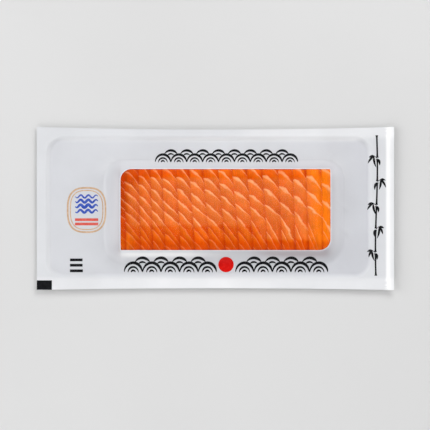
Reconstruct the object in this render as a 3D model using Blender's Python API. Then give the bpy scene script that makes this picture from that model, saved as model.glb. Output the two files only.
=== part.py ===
"""Vacuum pack of smoked salmon, lying on its back with the window up.

Metres, +Z up. X runs along the pack and Y across it. The origin is on the surface that the
pack lies on, under the middle of its outline.

The pack is two films sealed together round their edge. The back film is formed into a
shallow floor with rounded corners. The front film is drawn down onto that floor, stands up
over a block of salmon cut into slices, and is clear in one window, where the slices show.
"""

import math
import random

import bmesh
import bpy

# Outline of the pack. Its long edges are drawn in a little by the vacuum.
PACK_LENGTH = 0.300
PACK_WIDTH = 0.137
TOP_EDGE_SAG = 0.0022
BOTTOM_EDGE_SAG = 0.0015
CORNER_RADIUS = 0.0008

# Films. Neighbouring pieces keep a gap, and the slices a wider one under the film.
FRONT_FILM = 0.0004
BACK_FILM = 0.0005
GAP = 0.0003
SLICE_CLEARANCE = 0.0005

# Sunk floor of the pack: left, right, bottom and top edge, and the depth under the seal.
FLOOR_EDGES = (-0.1403, 0.1298, -0.0564, 0.0589)
FLOOR_RADIUS = 0.0135
FLOOR_DEPTH = 0.0015
FLOOR_WALL = 0.0034

# Seal round the floor. Its right end and lower edge curl up, each given as the width and
# the rise of the curl, and it waves a little along X and aslant.
RIGHT_CURL = (0.0075, 0.0017)
LOWER_CURL = (0.0100, 0.0009)
CURL_POWER = 1.5
SEAL_WAVE = 0.00022
WAVE_ALONG = 47.0
WAVE_ASLANT = (23.0, -61.0)
WAVE_START = 1.3

# Window in the print: edges as above, with two corners round and two nearly square. The
# clear film sinks between the slices by a share of their groove, but not near its edges.
WINDOW_EDGES = (-0.0795, 0.0967, -0.0349, 0.0330)
WINDOW_ROUND = 0.0092
WINDOW_SQUARE = 0.0008
WINDOW_SINK_SHARE = 0.55
WINDOW_SINK_FADE = 0.004

# Swell of the front film over the salmon: where it begins to round off and where it
# comes down to the floor, left, right, bottom and top. The powers shape its shoulders,
# its feet and its corners.
SWELL_SHOULDERS = (-0.0735, 0.0872, -0.0228, 0.0225)
SWELL_FEET = (-0.0945, 0.1085, -0.0480, 0.0412)
SWELL_HEIGHT = 0.0120
SWELL_CROWN = 0.09
SHOULDER_POWER = 3.0
FOOT_POWER = 1.4
CORNER_POWER = 2.5
FEET_RADIUS = 0.016

# Salmon: one width for each slice, from the left. The block fills the swell out to a share
# of the way from its shoulders to its feet. Its cuts lean by a least slope, and
# by more the nearer they are to one place along it.
SLICE_WIDTHS = (
    0.0151, 0.0121, 0.0101, 0.0101, 0.0121, 0.0116, 0.0118, 0.0130,
    0.0116, 0.0121, 0.0123, 0.0128, 0.0118, 0.0110, 0.0125, 0.0145,
)
BLOCK_LEFT = -0.0905
BLOCK_FILL = 0.84
END_UNEVENNESS = 0.0012
LEAN_LEAST = 0.026
LEAN_EXTRA = 0.070
LEAN_CENTRE = 0.010
LEAN_REACH = 0.046
GROOVE_DEPTH = 0.0013
GROOVE_POWER = 2.4
LEAST_SLICE = 0.0015
SEED = 7

# Flakes: steps that run aslant down a slice's back. A step falls by its depth over the
# edge's width, rises again to the crest, and the steps straighten towards the slice's ends.
FLAKE_PITCH = 0.0104
FLAKE_STEP = 0.0005
FLAKE_DROP = 0.0085
FLAKE_EDGE = 0.0012
FLAKE_CREST = 0.6
FLAKE_CREST_SINK = 0.45
FLAKE_START_SPREAD = 0.8
FLAKE_MARGIN = 0.0045
FLAKE_STRAIGHTENING = 0.014
END_ROUNDING = 0.0022
END_SINK = 0.5

# Mesh density.
SIDE_STEPS = 22
END_STEPS = 9
ARC_STEPS = 4
SWELL_RINGS = (0.0, 0.25, 0.45, 0.65, 0.83, 1.0)
SEAL_RINGS = (0.5, 1.0)
SLICE_COLUMNS = (0.0, 0.22, 0.52, 0.82, 1.0)
WINDOW_COLUMNS_PER_SLICE = 3
WINDOW_ROWS = 9
WINDOW_ARC_ROWS = 3
SHARP_ANGLE = math.radians(35)


def smooth_step(t):
    """0 below 0, 1 above 1, and a smooth rise between."""
    t = min(1.0, max(0.0, t))
    return t * t * (3.0 - 2.0 * t)


def distance_to_floor_edge(x, y):
    """Distance to the rounded outline of the sunk floor, negative inside it."""
    left, right, bottom, top = FLOOR_EDGES
    across = abs(x - (left + right) / 2) - (right - left) / 2 + FLOOR_RADIUS
    along = abs(y - (bottom + top) / 2) - (top - bottom) / 2 + FLOOR_RADIUS
    outside = math.hypot(max(across, 0.0), max(along, 0.0))
    return outside + min(max(across, along), 0.0) - FLOOR_RADIUS


def curl(inset, width, rise):
    """Rise of a curled edge at a distance in from it."""
    return rise * max(0.0, 1.0 - inset / width) ** CURL_POWER


def seal_lift(x, y):
    """Curl and gentle waves of the sealed edge."""
    lift = curl(PACK_LENGTH / 2 - x, *RIGHT_CURL) + curl(PACK_WIDTH / 2 + y, *LOWER_CURL)
    along = math.sin(x * WAVE_ALONG + WAVE_START)
    aslant = math.sin(x * WAVE_ASLANT[0] + y * WAVE_ASLANT[1])
    return lift + SEAL_WAVE * (1.0 + (along + aslant) / 2)


def flat_height(x, y):
    """Top of the front film without the salmon under it: floor, wall and seal."""
    floor_top = BACK_FILM + GAP + FRONT_FILM
    out = smooth_step(distance_to_floor_edge(x, y) / FLOOR_WALL + 0.5)
    return floor_top + out * (FLOOR_DEPTH + seal_lift(x, y))


def side_share(value, low_shoulder, high_shoulder, low_foot, high_foot):
    """How far out a point is: 0 up to the shoulder, 1 at the foot."""
    if value < low_shoulder:
        return (low_shoulder - value) / (low_shoulder - low_foot)
    if value > high_shoulder:
        return (value - high_shoulder) / (high_foot - high_shoulder)
    return 0.0


def swell(x, y):
    """Height that the salmon adds to the front film."""
    left, right, bottom, top = SWELL_SHOULDERS
    left_foot, right_foot, bottom_foot, top_foot = SWELL_FEET
    across = side_share(x, left, right, left_foot, right_foot)
    along = side_share(y, bottom, top, bottom_foot, top_foot)
    out = (across**CORNER_POWER + along**CORNER_POWER) ** (1.0 / CORNER_POWER)
    if out >= 1.0:
        return 0.0
    crown = 1.0 - SWELL_CROWN * (2.0 * y / (top_foot - bottom_foot)) ** 2
    return SWELL_HEIGHT * crown * (1.0 - out**SHOULDER_POWER) ** FOOT_POWER


def film_height(x, y):
    """Top of the front film, before it sinks into the grooves between slices."""
    return flat_height(x, y) + swell(x, y)


def slice_edge(number, y):
    """X of the cut to the left of a slice."""
    x = BLOCK_LEFT + sum(SLICE_WIDTHS[:number])
    lean = LEAN_LEAST + LEAN_EXTRA * math.exp(-(((x - LEAN_CENTRE) / LEAN_REACH) ** 2))
    return x - lean * y


def block_reach(x, shoulder, foot):
    """Y of the block's end between a shoulder and a foot, which draws in near its corners."""
    left, right, _, _ = SWELL_SHOULDERS
    left_foot, right_foot, _, _ = SWELL_FEET
    across = side_share(x, left, right, left_foot, right_foot) / BLOCK_FILL
    along = BLOCK_FILL * max(0.0, 1.0 - across**CORNER_POWER) ** (1.0 / CORNER_POWER)
    return shoulder + (foot - shoulder) * along


def block_ends(x):
    """Lower and upper end of the block."""
    _, _, bottom, top = SWELL_SHOULDERS
    _, _, bottom_foot, top_foot = SWELL_FEET
    return block_reach(x, bottom, bottom_foot), block_reach(x, top, top_foot)


def groove(share):
    """Depth that a slice's top loses towards the cuts at share 0 and 1."""
    return GROOVE_DEPTH * abs(2.0 * share - 1.0) ** GROOVE_POWER


def window_sink(x, y):
    """How far the clear film sinks between the slices, fading to none at its edges."""
    left, right, bottom, top = WINDOW_EDGES
    inset = min(x - left, right - x, y - bottom, top - y)
    fade = WINDOW_SINK_SHARE * smooth_step(inset / WINDOW_SINK_FADE)
    for number in range(len(SLICE_WIDTHS)):
        start, end = slice_edge(number, y), slice_edge(number + 1, y)
        if start <= x < end:
            return fade * groove((x - start) / (end - start))
    return 0.0


def plain_material(name, colour, roughness):
    """A Principled material of one colour."""
    material = bpy.data.materials.new(name)
    material.use_nodes = True
    shader = material.node_tree.nodes["Principled BSDF"]
    shader.inputs["Base Color"].default_value = colour
    shader.inputs["Roughness"].default_value = roughness
    shader.inputs["Metallic"].default_value = 0.0
    shader.inputs["Alpha"].default_value = colour[3]
    return material


def add_object(name, mesh_edit, material):
    """Turns edited geometry into a named object, shaded smooth up to its sharp edges."""
    bmesh.ops.recalc_face_normals(mesh_edit, faces=list(mesh_edit.faces))
    mesh = bpy.data.meshes.new(name)
    mesh_edit.to_mesh(mesh)
    mesh_edit.free()
    mesh.materials.append(material)
    mesh.shade_smooth()
    mesh.set_sharp_from_angle(angle=SHARP_ANGLE)
    bpy.context.scene.collection.objects.link(bpy.data.objects.new(name, mesh))


def extrude_down(mesh_edit, thickness):
    """Turns an open sheet that faces up into a closed solid."""
    copied = bmesh.ops.extrude_face_region(
        mesh_edit, geom=list(mesh_edit.faces), use_keep_orig=True
    )
    lower = [v for v in copied["geom"] if isinstance(v, bmesh.types.BMVert)]
    bmesh.ops.translate(mesh_edit, verts=lower, vec=(0.0, 0.0, -thickness))


def along_side(begin, end, steps):
    """Points between two ends, without the ends."""
    shares = [step / steps for step in range(1, steps)]
    return [(begin[0] + (end[0] - begin[0]) * s, begin[1] + (end[1] - begin[1]) * s) for s in shares]


def rounded_loop(edges, radii):
    """Points round a rectangle, anticlockwise from its bottom left, with one radius for
    each corner: bottom left, bottom right, top right, top left."""
    left, right, bottom, top = edges
    corners = ((left, bottom, 1, 1), (right, bottom, -1, 1), (right, top, -1, -1), (left, top, 1, -1))
    arcs = []
    for number, ((x, y, to_x, to_y), radius) in enumerate(zip(corners, radii)):
        start = math.pi * (1.0 + 0.5 * number)
        turns = [start + 0.5 * math.pi * step / ARC_STEPS for step in range(ARC_STEPS + 1)]
        centre_x, centre_y = x + to_x * radius, y + to_y * radius
        arcs.append([(centre_x + radius * math.cos(t), centre_y + radius * math.sin(t)) for t in turns])
    points = []
    for number, arc in enumerate(arcs):
        steps = SIDE_STEPS if number % 2 == 0 else END_STEPS
        points += arc + along_side(arc[-1], arcs[(number + 1) % 4][0], steps)
    return points


def between_loops(inner, outer, share):
    """A loop part of the way from one loop to another."""
    return [(a[0] + (b[0] - a[0]) * share, a[1] + (b[1] - a[1]) * share) for a, b in zip(inner, outer)]


def grown(edges, by):
    """A rectangle's edges moved out by a distance."""
    return (edges[0] - by, edges[1] + by, edges[2] - by, edges[3] + by)


def pack_outline():
    """The outer edge of the pack, with its two long edges drawn in."""
    half_length, half_width = PACK_LENGTH / 2, PACK_WIDTH / 2
    box = rounded_loop((-half_length, half_length, -half_width, half_width), (CORNER_RADIUS,) * 4)
    drawn = []
    for x, y in box:
        sag = TOP_EDGE_SAG if y > 0 else BOTTOM_EDGE_SAG
        middle = 1.0 - min(1.0, abs(x) / half_length) ** 2
        drawn.append((x, y - math.copysign(sag * middle * abs(y) / half_width, y)))
    return drawn


def wall_and_seal_loops():
    """Loops up the low wall round the floor and out over the seal to the pack's edge."""
    wall = []
    for by in (-FLOOR_WALL / 2, 0.0, FLOOR_WALL / 2):
        wall.append(rounded_loop(grown(FLOOR_EDGES, by), (FLOOR_RADIUS + by,) * 4))
    outline = pack_outline()
    return wall + [between_loops(wall[-1], outline, share) for share in SEAL_RINGS]


def sheet_through(loops, height):
    """A sheet laid through a row of loops, from the middle out, and its innermost ring."""
    mesh_edit = bmesh.new()
    rings = [[mesh_edit.verts.new((x, y, height(x, y))) for x, y in loop] for loop in loops]
    count = len(loops[0])
    for inner, outer in zip(rings, rings[1:]):
        for i in range(count):
            j = (i + 1) % count
            mesh_edit.faces.new((inner[i], outer[i], outer[j], inner[j]))
    return mesh_edit, rings[0]


def back_height(x, y):
    """Top of the back film, which lies under the front film."""
    return flat_height(x, y) - FRONT_FILM - GAP


def build_back_film(material):
    """The formed back film: a flat floor, a low wall round it and the sealed edge."""
    mesh_edit, floor_ring = sheet_through(wall_and_seal_loops(), back_height)
    mesh_edit.faces.new(floor_ring)
    extrude_down(mesh_edit, BACK_FILM)
    add_object("back_film", mesh_edit, material)


def build_front_film(material):
    """The printed front film, open at the window."""
    window = rounded_loop(WINDOW_EDGES, (WINDOW_SQUARE, WINDOW_ROUND, WINDOW_SQUARE, WINDOW_ROUND))
    feet = rounded_loop(SWELL_FEET, (FEET_RADIUS,) * 4)
    loops = [between_loops(window, feet, share) for share in SWELL_RINGS]
    mesh_edit, _ = sheet_through(loops + wall_and_seal_loops(), film_height)
    extrude_down(mesh_edit, FRONT_FILM)
    add_object("front_film", mesh_edit, material)


def window_row_ends(y):
    """Left and right end of the clear film at a height, inside its two round corners."""
    left, right, bottom, top = grown(WINDOW_EDGES, -GAP)
    radius = WINDOW_ROUND - GAP
    up, down = max(0.0, y - top + radius), max(0.0, bottom + radius - y)
    left += radius - math.sqrt(max(0.0, radius**2 - up**2))
    right -= radius - math.sqrt(max(0.0, radius**2 - down**2))
    return left, right


def window_rows():
    """Heights of the clear film's rows, which are closest where its corners are round."""
    _, _, bottom, top = grown(WINDOW_EDGES, -GAP)
    radius = WINDOW_ROUND - GAP
    turns = [0.5 * math.pi * step / WINDOW_ARC_ROWS for step in range(WINDOW_ARC_ROWS + 1)]
    rise = [radius * (1.0 - math.cos(turn)) for turn in turns]
    low, high = bottom + radius, top - radius
    middle = [low + (high - low) * step / WINDOW_ROWS for step in range(1, WINDOW_ROWS)]
    return [bottom + r for r in rise] + middle + [top - r for r in reversed(rise)]


def build_window_film(material):
    """The clear part of the front film, which sinks a little between the slices."""
    columns = len(SLICE_WIDTHS) * WINDOW_COLUMNS_PER_SLICE
    mesh_edit = bmesh.new()
    grid = []
    for y in window_rows():
        left, right = window_row_ends(y)
        places = [left + (right - left) * column / columns for column in range(columns + 1)]
        grid.append([mesh_edit.verts.new((x, y, film_height(x, y) - window_sink(x, y))) for x in places])
    for lower, upper in zip(grid, grid[1:]):
        for i in range(columns):
            mesh_edit.faces.new((lower[i], lower[i + 1], upper[i + 1], upper[i]))
    extrude_down(mesh_edit, FRONT_FILM)
    add_object("window_film", mesh_edit, material)


def flake_rows(bottom, top, offset):
    """Places along a slice of its rows of points, each with the share of the step there."""
    rows = [(bottom, END_SINK), (bottom + END_ROUNDING, END_SINK)]
    last = top - FLAKE_MARGIN
    start = bottom + FLAKE_MARGIN + offset * FLAKE_PITCH
    while start + FLAKE_EDGE < last:
        rows.append((start, 0.0))
        rows.append((start + FLAKE_EDGE, 1.0))
        crest = start + FLAKE_CREST * FLAKE_PITCH
        if crest < last:
            rows.append((crest, FLAKE_CREST_SINK))
        start += FLAKE_PITCH
    return rows + [(top - END_ROUNDING, END_SINK), (top, END_SINK)]


def slice_sections(number, mesh_edit, luck):
    """Points across the slice at each row: those of its back, and the two under it."""
    full_bottom, full_top = block_ends(0.0)
    bottom = full_bottom + luck.uniform(0.0, END_UNEVENNESS)
    top = full_top - luck.uniform(0.0, END_UNEVENNESS)
    underside = BACK_FILM + GAP
    sections = []
    for row_y, sunk in flake_rows(bottom, top, luck.uniform(0.0, FLAKE_START_SPREAD)):
        slant = FLAKE_DROP * smooth_step(min(row_y - bottom, top - row_y) / FLAKE_STRAIGHTENING)
        back, under = [], []
        for share in SLICE_COLUMNS:
            y = row_y - slant * (share - 0.5)
            start = slice_edge(number, y) + GAP / 2
            end = slice_edge(number + 1, y) - GAP / 2
            x = start + (end - start) * share
            near_bottom, near_top = block_ends(x)
            y *= near_bottom / full_bottom if y < 0.0 else near_top / full_top
            z = film_height(x, y) - FRONT_FILM - SLICE_CLEARANCE
            z = max(z - groove(share) - FLAKE_STEP * sunk, underside + LEAST_SLICE)
            back.append(mesh_edit.verts.new((x, y, z)))
            if share in (0.0, 1.0):
                under.append(mesh_edit.verts.new((x, y, underside)))
        sections.append((back, under))
    return sections


def build_slice(number, material, luck):
    """One slice of the block: flat under it, cut straight at its sides, with a round back
    and the steps of its flakes running down it from left to right."""
    mesh_edit = bmesh.new()
    sections = slice_sections(number, mesh_edit, luck)
    for (near, near_under), (far, far_under) in zip(sections, sections[1:]):
        for i in range(len(near) - 1):
            mesh_edit.faces.new((near[i], near[i + 1], far[i + 1], far[i]))
        mesh_edit.faces.new((near[0], far[0], far_under[0], near_under[0]))
        mesh_edit.faces.new((near[-1], near_under[1], far_under[1], far[-1]))
        mesh_edit.faces.new((near_under[0], far_under[0], far_under[1], near_under[1]))
    first_back, first_under = sections[0]
    last_back, last_under = sections[-1]
    mesh_edit.faces.new((*reversed(first_back), *first_under))
    mesh_edit.faces.new((*last_back, *reversed(last_under)))
    add_object(f"slice_{number + 1:02d}", mesh_edit, material)


def main():
    for obj in list(bpy.data.objects):
        bpy.data.objects.remove(obj)
    white_film = plain_material("white_film", (0.80, 0.81, 0.83, 1.0), 0.38)
    back_white = plain_material("back_film_white", (0.74, 0.75, 0.77, 1.0), 0.45)
    clear_film = plain_material("clear_film", (0.92, 0.95, 0.97, 0.3), 0.12)
    salmon = plain_material("salmon", (0.80, 0.165, 0.03, 1.0), 0.35)
    build_back_film(back_white)
    build_front_film(white_film)
    build_window_film(clear_film)
    luck = random.Random(SEED)
    for number in range(len(SLICE_WIDTHS)):
        build_slice(number, salmon, luck)


main()
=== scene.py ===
import math

import bpy
import numpy as np
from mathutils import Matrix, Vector


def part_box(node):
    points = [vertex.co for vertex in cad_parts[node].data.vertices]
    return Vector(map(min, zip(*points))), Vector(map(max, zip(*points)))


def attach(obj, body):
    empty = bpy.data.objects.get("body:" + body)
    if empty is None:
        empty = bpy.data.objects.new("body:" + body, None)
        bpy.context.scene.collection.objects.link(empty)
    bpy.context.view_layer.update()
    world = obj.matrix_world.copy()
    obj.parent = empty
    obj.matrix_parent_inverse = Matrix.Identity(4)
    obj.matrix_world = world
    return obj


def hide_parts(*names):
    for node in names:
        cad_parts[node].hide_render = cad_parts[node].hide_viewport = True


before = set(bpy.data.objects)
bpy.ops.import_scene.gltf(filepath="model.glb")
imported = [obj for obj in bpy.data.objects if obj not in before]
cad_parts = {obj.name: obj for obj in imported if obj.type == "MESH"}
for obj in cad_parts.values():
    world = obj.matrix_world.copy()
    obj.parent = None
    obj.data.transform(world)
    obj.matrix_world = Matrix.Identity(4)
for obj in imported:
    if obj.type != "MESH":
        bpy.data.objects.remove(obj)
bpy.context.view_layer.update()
perMetre = 1000.0


def nodeBox(name):  # left, right, bottom, top of a solid
    low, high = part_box(name)
    return tuple(perMetre * side for side in (low.x, high.x, low.y, high.y))


# Shape of the films, as the solids have it

pack = {
    "edges": nodeBox("front_film"),
    "corner": 0.8,
    "topSag": 2.2,  # the long edges are drawn in
    "bottomSag": 1.5,
    "front": 0.20,  # thickness of each film
    "clear": 0.12,
    "back": 0.28,
    "gap": 0.02,
}

floorPan = {
    "edges": (-140.3, 129.8, -56.4, 58.9),
    "corner": 13.5,
    "depth": 1.5,
    "wall": 4.6,
    "apron": 2.0,  # how far past the wall the mesh still follows the pan
    "bead": 0.10,  # raised rim just outside the pan
    "beadOut": 2.6,
    "beadWidth": 1.3,
}

seal = {
    "rightCurl": (7.5, 1.7),  # width and rise
    "lowerCurl": (10.0, 0.9),
    "curlPower": 1.5,
    "wave": 0.22,
    "waveAlong": 0.047,
    "waveAslant": (0.023, -0.061),
    "waveStart": 1.3,
}

window = {
    "edges": (-79.2, 96.4, -34.9, 33.0),
    "corners": (0.8, 9.2, 0.8, 9.2),  # bottom left, bottom right, top right, top left
    "calmCorner": 4.0,  # corner of the calm film round the window
    "sink": 0.15,  # how deep the clear film dips at a cut
    "sinkFrom": 0.25,  # where the dip starts between a slice's middle and its cut
    "sinkFade": 4.0,
    "cell": 0.75,
    "wrinkle": 0.028,
    "wrinkleWaves": (6.5, 21, 14),  # length, seed and count
}

bulge = {
    "shoulders": (-73.5, 87.2, -22.8, 22.5),
    "feet": (-94.5, 108.5, -48.0, 41.2),
    "height": 12.0,
    "crown": 0.09,
    "shoulderPower": 3.0,
    "footPower": 2.0,
    "cornerPower": 2.5,
    "feetCorner": 16.0,
}

# Folds of the printed film: start, end, half width, height
filmFolds = (
    ((90.0, 33.0), (108.0, 58.0), 3.0, 0.42),
    ((98.0, 28.0), (122.0, 44.0), 3.4, 0.25),
    ((99.0, 8.0), (116.0, -4.0), 2.6, 0.34),
    ((101.0, -12.0), (117.0, -26.0), 3.2, 0.30),
    ((92.0, -38.0), (112.0, -54.0), 3.2, 0.30),
    ((-84.0, -36.0), (-106.0, -53.0), 3.4, 0.45),
    ((-86.0, -22.0), (-112.0, -34.0), 3.6, 0.22),
    ((-88.0, 26.0), (-101.0, 4.0), 3.6, 0.34),
    ((-82.0, 34.0), (-104.0, 50.0), 3.4, 0.30),
    ((-40.0, 42.0), (-22.0, 56.0), 4.5, 0.12),
    ((52.0, 41.0), (40.0, 57.0), 4.5, 0.12),
    ((30.0, -44.0), (44.0, -55.0), 4.0, 0.14),
)
foldTaper = {"rise": 0.3, "fall": 0.5, "width": (0.55, 0.45)}  # width at the start, and what it gains

filmRipples = {
    "flat": 0.16,
    "flatRange": (0.5, 0.35),  # mean and swing, as shares of the size
    "flatWaves": (34.0, 3),  # length and seed
    "bulge": 0.10,
    "bulgeWaves": (19.0, 8),
    "bulgeHeight": 3.0,  # from this height on, the film lies on the fish
    "edgeFade": 9.0,
    "windowFade": 9.0,
    "lengths": (0.6, 1.7),  # shortest and longest wave, as shares of the length
}


def smoothStep(t):
    t = np.clip(t, 0.0, 1.0)
    return t * t * (3.0 - 2.0 * t)


def ramp(value, start, length):  # 0 at the start and 1 after the length, which may be negative
    return smoothStep((value - start) / length)


def stripe(value, middle, width):
    return np.exp(-(((value - middle) / width) ** 2))


def near(value, fade):  # 1 up to a border, and fading past it
    return np.exp(-np.maximum(0.0, value) / fade)


def insetFrom(edges, x, y):  # how far inside a rectangle a place is
    left, right, bottom, top = edges
    return np.minimum(np.minimum(x - left, right - x), np.minimum(y - bottom, top - y))


def roundedDistance(x, y, edges, corner):  # to a rounded rectangle, negative inside it
    left, right, bottom, top = edges
    across = np.abs(x - (left + right) / 2) - (right - left) / 2 + corner
    along = np.abs(y - (bottom + top) / 2) - (top - bottom) / 2 + corner
    outside = np.hypot(np.maximum(across, 0.0), np.maximum(along, 0.0))
    return outside + np.minimum(np.maximum(across, along), 0.0) - corner


def windowDistance(x, y):  # with each corner's own radius
    left, right, bottom, top = window["edges"]
    lowLeft, lowRight, highRight, highLeft = window["corners"]
    atLeft = x < (left + right) / 2
    low = np.where(atLeft, lowLeft, lowRight)
    high = np.where(atLeft, highLeft, highRight)
    return roundedDistance(x, y, window["edges"], np.where(y < (bottom + top) / 2, low, high))


def ripples(x, y, length, seed, count=9):  # soft random waves between about -1 and 1
    luck = np.random.default_rng(seed)
    total = np.zeros_like(x)
    for _ in range(count):
        turn, start = luck.uniform(0.0, 2.0 * math.pi, 2)
        waves = 2.0 * math.pi / (length * luck.uniform(*filmRipples["lengths"]))
        total += np.sin((x * math.cos(turn) + y * math.sin(turn)) * waves + start)
    return total / math.sqrt(2.0 * count)


def foldHeight(x, y):  # a fold widens along its run, and fades out at both ends
    total = np.zeros_like(x)
    startWidth, gain = foldTaper["width"]
    for (x0, y0), (x1, y1), width, height in filmFolds:
        runX, runY = x1 - x0, y1 - y0
        run = math.hypot(runX, runY)
        share = ((x - x0) * runX + (y - y0) * runY) / run**2
        off = ((x - x0) * runY - (y - y0) * runX) / run
        taper = ramp(share, 0.0, foldTaper["rise"]) * ramp(share, 1.0, -foldTaper["fall"])
        total += height * taper * stripe(off, 0.0, width * (startWidth + gain * share))
    return total


def curlRise(inset, width, rise):
    return rise * np.maximum(0.0, 1.0 - inset / width) ** seal["curlPower"]


def sealLift(x, y):
    _, right, bottom, _ = pack["edges"]
    lift = curlRise(right - x, *seal["rightCurl"]) + curlRise(y - bottom, *seal["lowerCurl"])
    along = np.sin(x * seal["waveAlong"] + seal["waveStart"])
    aslant = np.sin(x * seal["waveAslant"][0] + y * seal["waveAslant"][1])
    return lift + seal["wave"] * (1.0 + (along + aslant) / 2)


def panDistance(x, y):
    return roundedDistance(x, y, floorPan["edges"], floorPan["corner"])


def panShare(x, y):  # 0 on the pan's floor, 1 on the seal
    return smoothStep(panDistance(x, y) / floorPan["wall"] + 0.5)


def backTop(x, y):
    return pack["back"] + panShare(x, y) * (floorPan["depth"] + sealLift(x, y))


def sideShare(value, lowShoulder, highShoulder, lowFoot, highFoot):  # 0 at a shoulder, 1 at a foot
    below = (lowShoulder - value) / (lowShoulder - lowFoot)
    above = (value - highShoulder) / (highFoot - highShoulder)
    return np.maximum(0.0, np.maximum(below, above))


def bulgeHeight(x, y):
    left, right, bottom, top = bulge["shoulders"]
    leftFoot, rightFoot, bottomFoot, topFoot = bulge["feet"]
    across = sideShare(x, left, right, leftFoot, rightFoot)
    along = sideShare(y, bottom, top, bottomFoot, topFoot)
    power = bulge["cornerPower"]
    out = np.minimum(1.0, (across**power + along**power) ** (1.0 / power))
    crown = 1.0 - bulge["crown"] * (2.0 * y / (topFoot - bottomFoot)) ** 2
    return bulge["height"] * crown * (1.0 - out ** bulge["shoulderPower"]) ** bulge["footPower"]


def filmTop(x, y):  # top of the printed film
    risen = bulgeHeight(x, y)
    onFish = ramp(risen, 0.0, filmRipples["bulgeHeight"])
    toWindow = roundedDistance(x, y, window["edges"], window["calmCorner"])
    awayFromWindow = ramp(toWindow, 0.0, filmRipples["windowFade"])
    inside = ramp(insetFrom(pack["edges"], x, y), 0.0, filmRipples["edgeFade"])
    mean, swing = filmRipples["flatRange"]
    flatWave = mean + swing * ripples(x, y, *filmRipples["flatWaves"])
    bulgeWave = ripples(x, y, *filmRipples["bulgeWaves"]) * awayFromWindow
    waves = filmRipples["flat"] * flatWave * (1.0 - onFish) + filmRipples["bulge"] * bulgeWave * onFish
    bead = floorPan["bead"] * stripe(panDistance(x, y), floorPan["beadOut"], floorPan["beadWidth"])
    base = backTop(x, y) + pack["gap"] + pack["front"] + risen
    return base + inside * (waves + bead) + foldHeight(x, y) * awayFromWindow


# Mesh making

def makePiece(name, points, faces, finish, sharpAngle=35.0):
    mesh = bpy.data.meshes.new(name)
    mesh.from_pydata((np.asarray(points) / perMetre).tolist(), [], faces)
    mesh.materials.append(finish)
    mesh.shade_smooth()
    mesh.set_sharp_from_angle(angle=math.radians(sharpAngle))
    piece = bpy.data.objects.new(name, mesh)
    bpy.context.scene.collection.objects.link(piece)
    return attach(piece, "root")


def addNumbers(piece, name, *values):  # three numbers for each point, for its finish to read
    layer = piece.data.attributes.new(name, "FLOAT_VECTOR", "POINT")
    numbers = np.column_stack([np.ravel(value) for value in values])
    layer.data.foreach_set("vector", np.ascontiguousarray(numbers, dtype=np.float32).ravel())


def gridFaces(rows, columns, first=0, flip=False):
    start = first + np.arange(rows - 1)[:, None] * columns + np.arange(columns - 1)[None, :]
    corners = (start, start + 1, start + columns + 1, start + columns)
    quads = np.stack(corners[::-1] if flip else corners, -1).reshape(-1, 4)
    return quads.tolist()


def stripFaces(rowA, rowB):  # quads between two rows of point numbers
    return [(rowA[i], rowA[i + 1], rowB[i + 1], rowB[i]) for i in range(len(rowA) - 1)]


def slabFromGrid(x, y, upper, lower):  # a closed slab over a grid of places
    rows, columns = x.shape
    count = rows * columns
    points = np.concatenate([np.stack([x, y, z], -1).reshape(-1, 3) for z in (upper, lower)])
    numbers = np.arange(count).reshape(rows, columns)
    faces = gridFaces(rows, columns) + gridFaces(rows, columns, count, True)
    border = [*numbers[0], *numbers[1:, -1], *numbers[-1, -2::-1], *numbers[-2::-1, 0]]
    faces += stripFaces([n + count for n in border], border)
    return points, faces


def joinParts(parts):
    points, faces, first = [], [], 0
    for partPoints, partFaces in parts:
        points.append(partPoints)
        faces += [[number + first for number in face] for face in partFaces]
        first += len(partPoints)
    return np.concatenate(points), faces


# Rings of points from the window out to the edge of the pack

ringSteps = {
    "side": 170,  # points along each side, end and corner of a ring
    "end": 74,
    "arc": 12,
    "slope": 22,  # rings from the window to the foot of the bulge, and on to the seal's edge
    "pan": 26,
    "wall": 12,
    "seal": 11,
    "floor": 12,  # rings over the back film's floor
}


def roundedLoop(edges, corners):  # anticlockwise from the bottom left
    left, right, bottom, top = edges
    corner = ((left, bottom, 1, 1), (right, bottom, -1, 1), (right, top, -1, -1), (left, top, 1, -1))
    arcs = []
    for number, ((x, y, toX, toY), radius) in enumerate(zip(corner, corners)):
        turn = math.pi * (1.0 + 0.5 * number) + np.linspace(0.0, 0.5 * math.pi, ringSteps["arc"] + 1)
        arcs.append(np.stack([x + radius * (toX + np.cos(turn)), y + radius * (toY + np.sin(turn))], -1))
    loop = []
    for number, arc in enumerate(arcs):
        steps = ringSteps["side"] if number % 2 == 0 else ringSteps["end"]
        share = (np.arange(1, steps) / steps)[:, None]
        loop += [arc, arc[-1] + (arcs[(number + 1) % 4][0] - arc[-1]) * share]
    return np.concatenate(loop)


def grown(edges, by):
    return (edges[0] - by, edges[1] + by, edges[2] - by, edges[3] + by)


def packOutline():
    loop = roundedLoop(pack["edges"], (pack["corner"],) * 4)
    halfLength, halfWidth = pack["edges"][1], pack["edges"][3]
    sag = np.where(loop[:, 1] > 0, pack["topSag"], pack["bottomSag"])
    middle = 1.0 - np.minimum(1.0, np.abs(loop[:, 0]) / halfLength) ** 2
    loop[:, 1] -= np.sign(loop[:, 1]) * sag * middle * np.abs(loop[:, 1]) / halfWidth
    return loop


def ringsBetween(inner, outer, count):  # without the outer loop
    return [inner + (outer - inner) * step / count for step in range(count)]


def panLoop(by):
    return roundedLoop(grown(floorPan["edges"], by), (floorPan["corner"] + by,) * 4)


def sealRings():
    wallInside, wallOutside = -floorPan["wall"] / 2, floorPan["wall"] / 2 + floorPan["apron"]
    rings = [panLoop(by) for by in np.linspace(wallInside, wallOutside, ringSteps["wall"] + 1)[:-1]]
    outline = packOutline()
    return rings + ringsBetween(panLoop(wallOutside), outline, ringSteps["seal"]) + [outline]


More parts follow.
